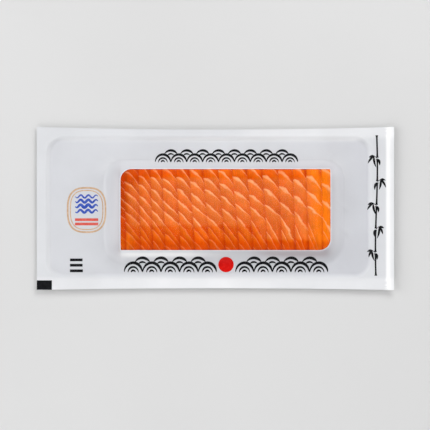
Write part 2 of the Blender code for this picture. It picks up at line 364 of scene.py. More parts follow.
def ringSolid(rings, upper, thickness, closeMiddle):
    count = len(rings[0])
    flat = np.concatenate(rings)
    under = len(flat)  # first point of the underside
    top = upper(flat[:, 0], flat[:, 1])
    points = np.concatenate([np.column_stack([flat, top]), np.column_stack([flat, top - thickness])])
    here = np.arange(count)
    beside = (here + 1) % count
    faces = []
    for ring in range(len(rings) - 1):
        a, b = ring * count, (ring + 1) * count
        sheet = np.stack([a + here, b + here, b + beside, a + beside], -1)
        faces += sheet.tolist() + (sheet[:, ::-1] + under).tolist()
    outer = (len(rings) - 1) * count
    faces += (np.stack([here, here + under, beside + under, beside], -1) + outer).tolist()
    if closeMiddle:
        faces += [here.tolist(), (here[::-1] + under).tolist()]
    else:
        faces += np.stack([here, beside, beside + under, here + under], -1).tolist()
    return points, faces


# Nodes for the finishes

def newFinish(name):
    finish = bpy.data.materials.new(name)
    finish.use_nodes = True
    return finish, finish.node_tree, finish.node_tree.nodes["Principled BSDF"]


def addNode(tree, kind, inputs, **settings):
    made = tree.nodes.new(kind)
    for key, value in settings.items():
        setattr(made, key, value)
    for key, value in inputs.items():
        if isinstance(value, bpy.types.NodeSocket):
            tree.links.new(value, made.inputs[key])
        else:
            made.inputs[key].default_value = value
    return made


def calc(tree, operation, first, second=0.0):
    return addNode(tree, "ShaderNodeMath", {0: first, 1: second}, operation=operation).outputs[0]


def product(tree, *values):
    result = values[0]
    for value in values[1:]:
        result = calc(tree, "MULTIPLY", result, value)
    return result


def rise(tree, value, low, high, outLow=0.0, outHigh=1.0):  # a smooth rise between two values
    inputs = {"Value": value, "From Min": low, "From Max": high, "To Min": outLow, "To Max": outHigh}
    return addNode(tree, "ShaderNodeMapRange", inputs, interpolation_type="SMOOTHSTEP").outputs[0]


def mixColours(tree, share, first, second, blend="MIX"):
    inputs = {0: share, 6: first, 7: second}
    return addNode(tree, "ShaderNodeMix", inputs, data_type="RGBA", blend_type=blend).outputs[2]


def multiplied(tree, colour, factor):
    grey = addNode(tree, "ShaderNodeCombineColor", {0: factor, 1: factor, 2: factor}).outputs[0]
    return mixColours(tree, 1.0, colour, grey, "MULTIPLY")


def readNumbers(tree, name):
    layer = addNode(tree, "ShaderNodeAttribute", {}, attribute_name=name)
    return addNode(tree, "ShaderNodeSeparateXYZ", {0: layer.outputs["Vector"]}).outputs


def noise(tree, scale, detail, stretch=(1.0, 1.0, 1.0)):
    place = addNode(tree, "ShaderNodeTexCoord", {}).outputs["Object"]
    place = addNode(tree, "ShaderNodeVectorMath", {0: place, 1: stretch}, operation="MULTIPLY").outputs[0]
    inputs = {"Vector": place, "Scale": scale, "Detail": detail}
    return addNode(tree, "ShaderNodeTexNoise", inputs).outputs["Fac"]


def mottle(tree, scale, detail, low=0.0, high=1.0):  # soft patches between two values
    return rise(tree, noise(tree, scale, detail), 0.3, 0.7, low, high)


def addBump(tree, shader, height, depth, strength):
    inputs = {"Height": height, "Distance": depth / perMetre, "Strength": strength}
    tree.links.new(addNode(tree, "ShaderNodeBump", inputs).outputs[0], shader.inputs["Normal"])


def setShader(shader, **values):
    for key, value in values.items():
        shader.inputs[key.replace("_", " ")].default_value = value


def linkShader(tree, shader, colour, roughness):
    tree.links.new(colour, shader.inputs["Base Color"])
    tree.links.new(roughness, shader.inputs["Roughness"])


def makePlainFinish(name, dark, light, look):  # two tones in soft patches, and a fine grain
    finish, tree, shader = newFinish(name)
    patches = rise(tree, noise(tree, *look["patches"]), *look["patchRange"])
    colour = mixColours(tree, patches, dark, light)
    linkShader(tree, shader, colour, mottle(tree, *look["roughness"]))
    addBump(tree, shader, noise(tree, *look["grain"]), *look["relief"])
    setShader(shader, Specular_IOR_Level=look["specular"])
    return finish


# Printed white film

filmLook = {
    "sealWhite": (0.690, 0.700, 0.724, 1.0),
    "panWhite": (0.593, 0.601, 0.638, 1.0),
    # the fish showing through the film, and painted shade under the window
    "overFishAndShade": (0.455, 0.415, 0.440, 1.0),
    # white of the film's cut edge, and of its painted highlights
    "paleEdgeAndHighlight": (0.97, 0.97, 0.975, 1.0),
    "cloud": (28.0, 4.0, 0.97, 1.02),  # scale, detail, least and most
    "roughness": (60.0, 5.0, 0.34, 0.46),
    "grain": (140.0, 4.0),  # scale and detail
    "fineGrain": (900.0, 2.0),
    "fineShare": 0.18,  # the fine grain's share of the relief
    "relief": (0.16, 0.55),  # depth and strength
    "ior": 1.48,
    "specular": 0.42,
}

# Tones of the film, its own and painted light and shade: an amount each, and what keeps it in place
filmShades = {
    "panGrey": (
        # the pan's floor is greyer of its own
        (0.60,),
        # painted shade to the right and lower right, and painted light high in the middle
        (0.20, (ramp, "x", 10.0, 95.0)),
        (0.16, (ramp, "x", 98.0, 20.0)),
        (0.20, (ramp, "x", 80.0, 24.0), (ramp, "y", -14.0, -24.0)),
        (-0.28, (ramp, "y", 34.0, 8.0), (ramp, "x", -62.0, 80.0), (ramp, "x", 130.0, -80.0)),
    ),
    # painted shade on the seal at the right, between the pan and the curled strip
    "sealGrey": ((0.18, (ramp, "x", 127.0, 7.0), (ramp, "x", 143.5, -1.6)),),
    "sealPale": (
        (0.22, (ramp, "y", -57.0, -3.0)),  # painted light on the lower flange
        (0.24, (ramp, "y", -57.0, -3.0), (ramp, "x", -101.0, 70.0), (ramp, "x", 81.0, -70.0)),
        (0.25, (ramp, "y", 58.0, 3.0), (ramp, "x", 0.0, 40.0)),  # painted light on the right half of the upper flange
    ),
    "pale": (
        (0.80, (near, "window", 0.45)),  # cut edge of the film
        (0.95, (ramp, "x", 143.0, 1.6)),  # painted highlight on the curled strip at the right end
        (-0.60, (ramp, "x", 146.0, 2.0)),
        # painted highlights along the pan's top and left walls
        (0.27, (stripe, "y", 58.3, 1.9), (ramp, "x", -135.0, 10.0), (ramp, "x", 127.0, -10.0)),
        (0.20, (stripe, "y", 58.3, 1.9), (ramp, "x", -70.0, 50.0), (ramp, "x", 127.0, -10.0)),
        (0.16, (stripe, "x", -139.8, 1.9), (ramp, "y", -56.0, 10.0), (ramp, "y", 56.0, -10.0)),
        # painted highlight under the window's left half
        (0.75, (stripe, "y", -38.6, 2.6), (ramp, "x", -84.0, 12.0), (ramp, "x", 14.0, -46.0)),
    ),
    "overFishAndShade": (
        # the fish showing through the film beside the window
        (0.20, (near, "window", 6.0)),
        (0.35, (near, "window", 6.0), (ramp, "x", -90.0, 190.0)),
        (0.75, (near, "window", 4.0), (ramp, "x", -78.2, -2.0)),
        # painted shade under the right half of the window, with the fish showing through
        (0.85, (stripe, "y", -37.4, 3.6), (np.less, "y", -32.9), (ramp, "x", 22.0, 34.0),
         (ramp, "x", 101.0, -12.0)),
    ),
}


def shadeTone(name, places):  # sum of the shades of one name
    total = 0.0
    for amount, *limits in filmShades[name]:
        for form, place, *numbers in limits:
            amount = amount * form(places[place], *numbers)
        total = total + amount
    return total


# Painted light on the film over the bulge's right slope and beside its foot, against the shade the bulge
# casts
bulgePaintedLight = {
    "slopeHeight": 6.0,
    "slopeRight": (92.0, 8.0),  # where it starts, and how far it takes
    "slopeLoss": 0.55,
    "outside": (0.20, 7.0),  # amount at the foot, and its fade away from it
    "inside": (0.10, 8.0),
    "top": (20.0, 18.0),
    "right": (95.0, 8.0),
    "rightUp": (-44.0, 26.0),
    "rightShare": 0.70,
    "cutEdge": 1.5,  # none of it this near the window
}


def filmTones(x, y):  # how grey, how pale and how dark over the fish the film is, painted light and shade included
    toWindow = windowDistance(x, y)
    onSeal = panShare(x, y)
    places = {"x": x, "y": y, "window": toWindow}
    panGrey, sealGrey, sealPale, pale, overFishAndShade = (shadeTone(name, places) for name in filmShades)
    # painted light on the bulge's right slope takes some of the pan's grey away
    onSlope = ramp(bulgeHeight(x, y), 0.0, bulgePaintedLight["slopeHeight"]) * ramp(x, *bulgePaintedLight["slopeRight"])
    grey = (1.0 - onSeal) * panGrey * (1.0 - bulgePaintedLight["slopeLoss"] * onSlope) + onSeal * sealGrey
    # painted light beside the foot of the bulge, against the shade the bulge casts there
    toFoot = roundedDistance(x, y, bulge["feet"], bulge["feetCorner"])
    (outside, fadeOut), (inside, fadeIn) = bulgePaintedLight["outside"], bulgePaintedLight["inside"]
    atFoot = np.where(toFoot > 0.0, outside * near(toFoot, fadeOut), inside * near(-toFoot, fadeIn))
    atTop = ramp(y, *bulgePaintedLight["top"])
    atRight = (1.0 - atTop) * ramp(x, *bulgePaintedLight["right"]) * ramp(y, *bulgePaintedLight["rightUp"])
    atFoot = atFoot * (atTop + bulgePaintedLight["rightShare"] * atRight) * (toWindow > bulgePaintedLight["cutEdge"])
    pale = pale + onSeal * sealPale + atFoot
    return grey, np.minimum(1.0, pale), np.minimum(1.0, overFishAndShade)


def makeFilmFinish():
    finish, tree, shader = newFinish("white_film_satin")
    grey, pale, overFishAndShade = readNumbers(tree, "filmTone")
    # the film's own tones, with painted light and painted shade mixed in
    colour = mixColours(tree, grey, filmLook["sealWhite"], filmLook["panWhite"])
    colour = mixColours(tree, overFishAndShade, colour, filmLook["overFishAndShade"])
    colour = mixColours(tree, pale, colour, filmLook["paleEdgeAndHighlight"])
    colour = multiplied(tree, colour, mottle(tree, *filmLook["cloud"]))
    linkShader(tree, shader, colour, mottle(tree, *filmLook["roughness"]))
    fine = product(tree, noise(tree, *filmLook["fineGrain"]), filmLook["fineShare"])
    addBump(tree, shader, calc(tree, "ADD", fine, noise(tree, *filmLook["grain"])), *filmLook["relief"])
    setShader(shader, IOR=filmLook["ior"], Specular_IOR_Level=filmLook["specular"])
    return finish


def buildPrintedFilm():
    windowLoop = roundedLoop(window["edges"], window["corners"])
    feetLoop = roundedLoop(bulge["feet"], (bulge["feetCorner"],) * 4)
    innerPan = panLoop(-floorPan["wall"] / 2)
    rings = ringsBetween(windowLoop, feetLoop, ringSteps["slope"])
    rings += ringsBetween(feetLoop, innerPan, ringSteps["pan"]) + sealRings()
    points, faces = ringSolid(rings, filmTop, pack["front"], False)
    piece = makePiece("printed_film", points, faces, makeFilmFinish())
    addNumbers(piece, "filmTone", *filmTones(points[:, 0], points[:, 1]))
    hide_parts("front_film")


# Plain back film

backLook = {
    "patches": (24.0, 4.0),  # scale and detail
    "patchRange": (0.3, 0.7),
    "roughness": (90.0, 4.0, 0.42, 0.52),  # scale, detail, least and most
    "grain": (260.0, 5.0),
    "relief": (0.12, 0.5),  # depth and strength
    "specular": 0.38,
    "dark": (0.76, 0.765, 0.78, 1.0),
    "light": (0.80, 0.80, 0.81, 1.0),
    "core": (-60.0, 60.0, -12.0, 12.0),  # innermost ring of its mesh
    "coreCorner": 10.0,
}


def buildBackFilm():
    core = roundedLoop(backLook["core"], (backLook["coreCorner"],) * 4)
    rings = ringsBetween(core, panLoop(-floorPan["wall"] / 2), ringSteps["floor"]) + sealRings()
    finish = makePlainFinish("back_film_white", backLook["dark"], backLook["light"], backLook)
    piece = makePiece("back_film_sheet", *ringSolid(rings, backTop, pack["back"], True), finish)
    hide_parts("back_film")


# Slices of salmon

sliceCount = 16
sliceShape = {
    "columns": 24,
    "rows": 178,
    "gap": 0.01,
    "underFilm": 0.04,
    "underside": pack["back"] + 0.04,
    "leftGroove": 0.42,  # each slice laps a little over the one on its left
    "rightGroove": 0.80,
    "groovePower": 2.4,
    "blockFill": 0.84,
    "unevenEnds": 1.2,
    "straightening": 10.0,
    "leastHeight": 0.8,
    "step": 0.38,  # relief of the flakes
    "stepFall": 0.12,  # share of a flake over which it falls, and where its rise eases
    "stepCrest": 0.62,
    "sharpAngle": 50.0,
    "seed": 11,
}

# Lines of fat: where one starts at each slice's left cut, and how they run from there
fatLines = {
    "starts": (8.8, 5.6, 10.5, 8.2, 5.9, 6.2, 12.2, 4.2, 10.5, 3.9, 11.5, 2.9, 5.6, 10.5, 1.9, 5.9),
    "firstPitch": 7.4,
    "pitchGrowth": 0.36,
    "drop": 10.8,
    "lowerDrop": (2.0, 0.6, 2.4),  # added low down, more for each slice, and for each one past the ninth
    "lowerFall": (1.0, -14.0),  # where that starts, and how far it takes
    "slantWave": (0.10, 0.35, 2.4),  # how much the slant varies, down a slice and from slice to slice
    "bend": 1.05,
    "upperBend": (0.75, 6.0, 16.0),  # added bend, where it starts, and how far it takes
    "lowerBend": (0.30, -8.0, -16.0),
    "thin": 0.85,
    "thick": 1.60,
    "thickGrowth": 0.13,
    "growthRise": (-22.0, 50.0),
    "peak": 0.38,  # where across the slice a line is thickest
    "peakReach": 0.33,
    "uneven": 0.13,  # how far a line strays, as a share of the pitch
    "most": 20,  # lines above or below a slice's own first one, at most
    "strength": (0.46, 0.66),  # at its ends, and what its peak adds
    "vary": (0.72, 1.08),
    "draws": 60,  # random numbers for the lines and flakes of a slice, enough for all of them
}


def cutLines():  # slope and start of the cuts between slices, from the solids' undersides
    lines = []
    for number in range(sliceCount):
        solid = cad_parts[f"slice_{number + 1:02d}"].data
        places = np.array([tuple(v.co) for v in solid.vertices]) * perMetre
        under = places[places[:, 2] < places[:, 2].min() + 0.1]
        middle = np.polyfit(under[:, 1], under[:, 0], 1)
        off = under[:, 0] - np.polyval(middle, under[:, 1])
        lines.append([np.polyfit(under[side, 1], under[side, 0], 1) for side in (off < 0, off > 0)])
    between = [(lines[n][1] + lines[n + 1][0]) / 2 for n in range(sliceCount - 1)]
    return [lines[0][0], *between, lines[-1][1]]


cuts = cutLines()


def shareAcross(x, y):  # place across the slice that holds a point, from 0 to 1
    edges = np.stack([np.polyval(cut, y) for cut in cuts])
    number = np.clip((x[None] >= edges).sum(0) - 1, 0, sliceCount - 1)
    left = np.take_along_axis(edges, number[None], 0)[0]
    right = np.take_along_axis(edges, number[None] + 1, 0)[0]
    return (x - left) / (right - left)


def blockReach(x, shoulder, foot):
    left, right, _, _ = bulge["shoulders"]
    leftFoot, rightFoot, _, _ = bulge["feet"]
    fill, power = sliceShape["blockFill"], bulge["cornerPower"]
    across = sideShare(x, left, right, leftFoot, rightFoot) / fill
    return shoulder + (foot - shoulder) * fill * np.maximum(0.0, 1.0 - across**power) ** (1.0 / power)


def lineDrop(start, number):  # how far a line falls on its way across a slice
    base, more, late = fatLines["lowerDrop"]
    size, wave, shift = fatLines["slantWave"]
    added = (base + more * number + late * max(0, number - 9)) * ramp(start, *fatLines["lowerFall"])
    return (fatLines["drop"] + added) * (1.0 + size * np.sin(wave * start + shift * number))


def linePower(start):  # how a line bends as it runs across
    power = fatLines["bend"]
    for more, bendStart, length in (fatLines["upperBend"], fatLines["lowerBend"]):
        power = power + more * ramp(start, bendStart, length)
    return power


def lineStart(share, y, number):  # where the line through a place starts at the left cut
    starts = np.linspace(-60.0, 80.0, 1400)
    result = np.empty_like(y)
    for column in range(share.shape[1]):
        u = share[0, column]
        runs = starts - lineDrop(starts, number) * u ** linePower(starts)
        result[:, column] = np.interp(y[:, column], runs, starts)
    return result


def flakeSink(phase):  # falls just above a line of fat, then rises slowly to the next one
    part = phase - np.floor(phase)
    fall, crest = sliceShape["stepFall"], sliceShape["stepCrest"]
    rising = 1.0 - 0.55 * ramp(part, fall, crest - fall) - 0.45 * ramp(part, crest, 1.0 - crest)
    return np.where(part < fall, ramp(part, 0.0, fall), rising)


fleshLook = {
    "deep": (0.735, 0.081, 0.0011, 1.0),
    "light": (0.86, 0.154, 0.005, 1.0),
    "halo": (0.93, 0.235, 0.042, 1.0),
    # pale zone under the painted sheen of the clear film
    "pale": (0.85, 0.208, 0.040, 1.0),
    # painted shade at the cuts
    "dark": (0.62, 0.049, 0.0005, 1.0),
    # deep bands at the top and bottom: darker flesh, and painted shade where it curves away
    "band": (0.755, 0.080, 0.0004, 1.0),
    # painted glow
    "glow": (1.0, 0.212, 0.007, 1.0),
    "fat": (1.0, 0.45, 0.20, 1.0),
    "lightening": (0.08, 0.95),  # from deep to light, up a flake
    "roughness": (320.0, 4.0, 0.30, 0.44),  # scale, detail, least and most
    "wobble": (190.0, 4.0),  # scale and detail
    "lineWobble": 0.36,  # how far a line of fat strays, as a share of the pitch
    "fibre": (15.0, 2.0),  # fibres across a slice, and along one flake
    "fibreNoise": {"Scale": 1.0, "Detail": 5.0, "Roughness": 0.62},
    "fibreRange": (0.25, 0.75),
    "fibreTone": 0.09,
    "patches": (210.0, 4.0, 0.95, 1.05),
    "flakeTone": 0.07,  # how far the tone of one flake is from the next, and how deep the painted shade at the left is
    "paleShare": (0.0, 0.9, 0.42, 0.72),  # rises over a flake, from one share to another
    "haloShare": 0.42,
    "haloUnder": (0.42, 0.02),  # it fades below a line, and stops just above it
    "haloOver": (0.04, 0.0),
    "reliefShares": (0.9, 0.6),  # of the fibres and of the fat
    "relief": (0.14, 0.6),  # depth and strength
    "scatter": (1.0, 0.28, 0.08),
    "scatterShare": 0.16,
    "scatterScale": 0.0030,
    "specular": 0.04,
}

# Where painted shade darkens the flesh at a cut
cutLook = {
    "right": (0.66, 1.0),
    "left": (0.13, 0.0, 0.0, 0.55),
    "inBand": (-0.7, 0.8, 0.33, 0.82),  # less in the pale zone, and more in the deep bands
    "noise": (85.0, 3.0),
    "patches": (0.35, 0.62, 0.50, 1.20),
}

# A line of fat is crisp above and soft below, in shares of its half width
fatLook = {
    "above": (1.45, 0.35),
    "below": (1.9, 0.1),
    "noise": (420.0, 4.0, (1.0, 1.0, 0.3)),  # scale, detail and stretch
    "patches": (0.30, 0.60, 0.72, 1.05),
}


def fleshFibres(tree, across, phase, seed):  # fine fibres run from one line of fat to the next
    perSlice, perFlake = fleshLook["fibre"]
    places = {0: product(tree, across, perSlice), 1: product(tree, phase, perFlake), 2: seed}
    weave = addNode(tree, "ShaderNodeCombineXYZ", places).outputs[0]
    return addNode(tree, "ShaderNodeTexNoise", {"Vector": weave, **fleshLook["fibreNoise"]}).outputs["Fac"]


def cutShade(tree, across, band):  # painted shade at a cut, mostly on the slice's right side
    right, left = (rise(tree, across, *cutLook[name]) for name in ("right", "left"))
    side = calc(tree, "MAXIMUM", right, left)
    patches = rise(tree, noise(tree, *cutLook["noise"]), *cutLook["patches"])
    return product(tree, side, rise(tree, band, *cutLook["inBand"]), patches)


def fatShade(tree, over, under, halfWidth, strength):
    above = rise(tree, calc(tree, "DIVIDE", over, halfWidth), *fatLook["above"])
    below = rise(tree, calc(tree, "DIVIDE", under, halfWidth), *fatLook["below"])
    patchy = rise(tree, noise(tree, *fatLook["noise"]), *fatLook["patches"])
    return product(tree, calc(tree, "MINIMUM", above, below), strength, patchy)


def makeFleshFinish():
    finish, tree, shader = newFinish("salmon_flesh")
    across, phase, halfWidth = readNumbers(tree, "flakeRun")
    band, glow, strength = readNumbers(tree, "fleshTone")
    # a random tone for each flake, less the painted shade at the left end
    flakeTone, seed, _ = readNumbers(tree, "flakeLuckAndShade")
    wobble = calc(tree, "SUBTRACT", noise(tree, *fleshLook["wobble"]), 0.5)
    run = calc(tree, "ADD", phase, product(tree, wobble, fleshLook["lineWobble"]))
    part = calc(tree, "FRACT", run)
    # how far a place is over the nearest line of fat, and under it
    over = calc(tree, "SUBTRACT", calc(tree, "FRACT", calc(tree, "ADD", run, 0.5)), 0.5)
    under = product(tree, over, -1.0)
    fibres = fleshFibres(tree, across, phase, seed)
    swing = fleshLook["fibreTone"]
    fibreTone = rise(tree, fibres, *fleshLook["fibreRange"], -swing, swing)
    lift = calc(tree, "ADD", fibreTone, mottle(tree, *fleshLook["patches"]))
    lift = calc(tree, "ADD", lift, product(tree, flakeTone, fleshLook["flakeTone"]))
    lightening = rise(tree, part, *fleshLook["lightening"])
    colour = multiplied(tree, mixColours(tree, lightening, fleshLook["deep"], fleshLook["light"]), lift)
    # a band above 0 is deep, with painted shade, and one below 0 is pale under the painted sheen; glow is
    # painted light
    inBand = calc(tree, "MAXIMUM", band, 0.0)
    inPale = calc(tree, "MAXIMUM", product(tree, band, -1.0), 0.0)
    inPale = product(tree, inPale, rise(tree, part, *fleshLook["paleShare"]))
    for share, tone in ((inBand, "band"), (inPale, "pale"), (glow, "glow")):
        colour = mixColours(tree, share, colour, multiplied(tree, fleshLook[tone], lift))
    # painted shade at the cuts between slices
    colour = mixColours(tree, cutShade(tree, across, band), colour, fleshLook["dark"])
    # the flesh is lighter just under a line
    haloUnder, haloOver = rise(tree, under, *fleshLook["haloUnder"]), rise(tree, over, *fleshLook["haloOver"])
    halo = product(tree, haloUnder, haloOver, strength, fleshLook["haloShare"])
    colour = mixColours(tree, halo, colour, fleshLook["halo"])
    fat = fatShade(tree, over, under, halfWidth, strength)
    colour = mixColours(tree, fat, colour, fleshLook["fat"])
    linkShader(tree, shader, colour, mottle(tree, *fleshLook["roughness"]))
    fibreShare, fatShare = fleshLook["reliefShares"]
    height = calc(tree, "ADD", product(tree, fibres, fibreShare), product(tree, fat, fatShare))
    addBump(tree, shader, height, *fleshLook["relief"])
    setShader(shader, Subsurface_Weight=fleshLook["scatterShare"], Subsurface_Radius=fleshLook["scatter"])
    setShader(shader, Subsurface_Scale=fleshLook["scatterScale"], Specular_IOR_Level=fleshLook["specular"])
    return finish


def sliceGrid(number, luck):  # share across the slice, place along the pack, and place on the block
    sides = tuple(zip(bulge["shoulders"][2:], bulge["feet"][2:]))
    lowEnd, highEnd = (blockReach(np.zeros(1), *side)[0] for side in sides)
    low = lowEnd + luck.uniform(0.0, sliceShape["unevenEnds"])
    high = highEnd - luck.uniform(0.0, sliceShape["unevenEnds"])
    columns = np.linspace(0.0, 1.0, sliceShape["columns"] + 1)
    share, row = np.meshgrid(columns, np.linspace(low, high, sliceShape["rows"] + 1))
    straight = ramp(np.minimum(row - low, high - row), 0.0, sliceShape["straightening"])
    y = row + straight * fatLines["drop"] * (0.5 - share ** linePower(row))
    left = np.polyval(cuts[number], y) + sliceShape["gap"] / 2
    right = np.polyval(cuts[number + 1], y) - sliceShape["gap"] / 2
    x = left + (right - left) * share
    lowReach, highReach = (blockReach(x, *side) for side in sides)
    return share, x, y, y * np.where(y < 0.0, lowReach / lowEnd, highReach / highEnd)


def flakePhase(number, start, pitch, luck):  # counts the lines of fat up a slice
    phase = (start - fatLines["starts"][number]) / pitch
    most = fatLines["most"]
    strays = luck.uniform(-1.0, 1.0, 2 * most + 1) * fatLines["uneven"]
    strays[most] = 0.0  # the line at the slice's own start stays
    return phase + np.interp(phase, np.arange(-most, most + 1), strays)


def sliceTop(x, y, share, phase):
    groove = np.where(share < 0.5, sliceShape["leftGroove"], sliceShape["rightGroove"])
    groove = groove * np.abs(2.0 * share - 1.0) ** sliceShape["groovePower"]
    underFilm = filmTop(x, y) - pack["front"] - sliceShape["underFilm"]
    top = underFilm - groove - sliceShape["step"] * flakeSink(phase)
    return np.maximum(top, sliceShape["underside"] + sliceShape["leastHeight"])


# Zones of the flesh and of its painted light and shade. A pair of numbers is where a zone starts, and how far
# it takes to be full
fleshZones = {
    # painted shade at the left, where the block falls away
    "leftDim": (-46.0, -32.0),
    "leftEdge": (-71.0, -6.0),
    # deep bands at the top and bottom: darker flesh, and painted shade where it curves away
    "highBand": (24.0, 7.0),
    "highBandDrop": 7.0,  # how much lower it starts at the left
    "lowBand": (-24.0, -6.0),
    "bandDepth": 0.85,
    "paleLow": -14.5,  # the painted sheen's paler zone ends lower at the right, and unevenly
    "paleLowDrop": 12.0,
    "paleLowRight": (34.0, 8.0),
    "paleLowWave": 0.8,
    "paleLowRipples": (9.0, 5),  # length and seed
    "paleHigh": 25.5,
    "paleHighLuck": (-1.5, 2.0),
    "paleHighDrop": 8.0,  # how much lower it is at the left
    "paleFades": (3.6, 5.0),  # at its lower and upper ends
    "paleLuck": (0.75, 1.0),
    "paleLeftLoss": 0.45,
    # painted glow at the right end, in the high band and at the lower left
    "glowStripe": (89.0, 2.2),  # middle and half width of the brightest stripe
    "glowRight": (72.0, 16.0),
    "glowRightShare": 0.95,
    "glowBand": (0.40, 0.30),  # mean and swing, from slice to slice
    "glowBandRise": (-46.0, 70.0),
    "glowLow": (-22.0, -9.0),
    "glowLowLoss": 0.6,
    "glowLeft": (-74.0, 5.0),
    "glowLeftLow": (-14.0, -12.0),
    "glowLeftShare": 0.55,
    "lines": 0.94,  # strength of the lines of fat, and what they lose in each zone
    "linesHighLoss": 0.26,
    "linesLow": (4.0, -12.0),
    "linesLowLoss": 0.70,
    "linesLeftLoss": 0.22,
    "linesHighLeft": (-20.0, -30.0),
    "linesHighLeftLoss": 0.35,
    # depth of the painted shade at the left and at its very edge
    "dimLeft": 2.3,
    "dimEdge": 2.2,
    "dimEdgeLow": (6.0, -26.0),
    "dimEdgeLoss": 2.4,
}


def fleshTones(x, y, luck):  # band, painted glow, strength of the lines, and painted shade (dimness) of the flakes
    zone = fleshZones
    # painted shade at the left, where the block falls away
    leftDim = ramp(x, *zone["leftDim"])
    leftEdge = ramp(x, *zone["leftEdge"])
    highBand = ramp(y + zone["highBandDrop"] * leftDim, *zone["highBand"])
    lowBand = ramp(y, *zone["lowBand"])
    paleLow = zone["paleLow"] - zone["paleLowDrop"] * ramp(x, *zone["paleLowRight"])
    paleLow = paleLow + zone["paleLowWave"] * ripples(x, y, *zone["paleLowRipples"])
    paleHigh = zone["paleHigh"] + luck.uniform(*zone["paleHighLuck"]) - zone["paleHighDrop"] * leftDim
    lowFade, highFade = zone["paleFades"]
    pale = ramp(y, paleLow - lowFade / 2, lowFade) * ramp(y, paleHigh + highFade / 2, -highFade)
    pale *= luck.uniform(*zone["paleLuck"]) * (1.0 - zone["paleLeftLoss"] * leftDim)
    # deep bands with painted shade, lifted where the painted sheen lies, and deepest at the left edge
    band = zone["bandDepth"] * np.maximum(highBand, lowBand) - pale * (1.0 - highBand)
    band = band * (1.0 - leftEdge) + leftEdge
    # painted glow at the right end, here and there in the high band, and at the lower left
    mean, swing = zone["glowBand"]
    glow = stripe(x, *zone["glowStripe"]) + zone["glowRightShare"] * ramp(x, *zone["glowRight"])
    glow += highBand * (mean + swing * luck.uniform(-1.0, 1.0)) * ramp(x, *zone["glowBandRise"])
    glow *= 1.0 - zone["glowLowLoss"] * ramp(y, *zone["glowLow"])
    glow += zone["glowLeftShare"] * stripe(x, *zone["glowLeft"]) * ramp(y, *zone["glowLeftLow"])
    # the lines of fat fade in the bands and at the left
    lines = zone["lines"] - zone["linesHighLoss"] * highBand
    lines = lines - zone["linesLowLoss"] * (1.0 - pale) * ramp(y, *zone["linesLow"])
    highLeft = zone["linesHighLeftLoss"] * highBand * ramp(x, *zone["linesHighLeft"])
    lines *= (1.0 - zone["linesLeftLoss"] * leftDim) * (1.0 - highLeft)
    # painted shade at the left edge, less low down
    atEdge = zone["dimEdge"] - zone["dimEdgeLoss"] * ramp(y, *zone["dimEdgeLow"])
    return band, np.clip(glow, 0.0, 1.0), lines, zone["dimLeft"] * leftDim + leftEdge * atEdge


def buildSlice(number, finish, luck):
    share, x, unrounded, y = sliceGrid(number, luck)
    start = lineStart(share, unrounded, number + 1)
    pitch = fatLines["firstPitch"] + fatLines["pitchGrowth"] * (number + 1)
    phase = flakePhase(number, start, pitch, luck)
    lower = np.full_like(x, sliceShape["underside"])
    points, faces = slabFromGrid(x, y, sliceTop(x, y, share, phase), lower)
    piece = makePiece(f"salmon_slice_{number + 1:02d}", points, faces, finish, sliceShape["sharpAngle"])
    # thickness and strength of the fat, line by line, and tone of the flesh, flake by flake, with painted
    # shade at the left
    lens = stripe(share, fatLines["peak"], fatLines["peakReach"])
    growth = fatLines["thickGrowth"] * (number + 1) * ramp(start, *fatLines["growthRise"])
    width = fatLines["thin"] + (fatLines["thick"] + growth - fatLines["thin"]) * lens
    ends, more = fatLines["strength"]
    line = np.round(phase).astype(int)
    vary = luck.uniform(*fatLines["vary"], fatLines["draws"])[line - line.min()]
    strength = np.clip((ends + more * lens) * vary, 0.0, 1.0)
    flake = np.floor(phase).astype(int)
    flakeTone = luck.uniform(-1.0, 1.0, fatLines["draws"])[flake - flake.min()]
    band, glow, lines, dimness = fleshTones(x, y, luck)
    fibreSeed = np.full_like(share, 3.7 * number)
    # the same numbers for the top and the underside
    addNumbers(piece, "flakeRun", *([v, v] for v in (share, phase, width / 2 / pitch)))
    # band and glow carry painted shade, painted sheen and painted glow
    addNumbers(piece, "fleshTone", *([v, v] for v in (band, glow, strength * lines)))
    # random tone of each flake, less the painted shade at the left
    addNumbers(piece, "flakeLuckAndShade", *([v, v] for v in (flakeTone - dimness, fibreSeed, fibreSeed)))
    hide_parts(f"slice_{number + 1:02d}")


def buildSlices():
    finish = makeFleshFinish()
    luck = np.random.default_rng(sliceShape["seed"])
    for number in range(sliceCount):
        buildSlice(number, finish, luck)


# Clear film over the window

clearLook = {
    "ior": 1.36,
    "roughness": 0.22,
    "tint": (0.996, 0.997, 1.0, 1.0),
    "mostGloss": 0.08,  # so that the fish still shows at a low angle
    "relief": (0.03, 0.3),  # depth and strength
}


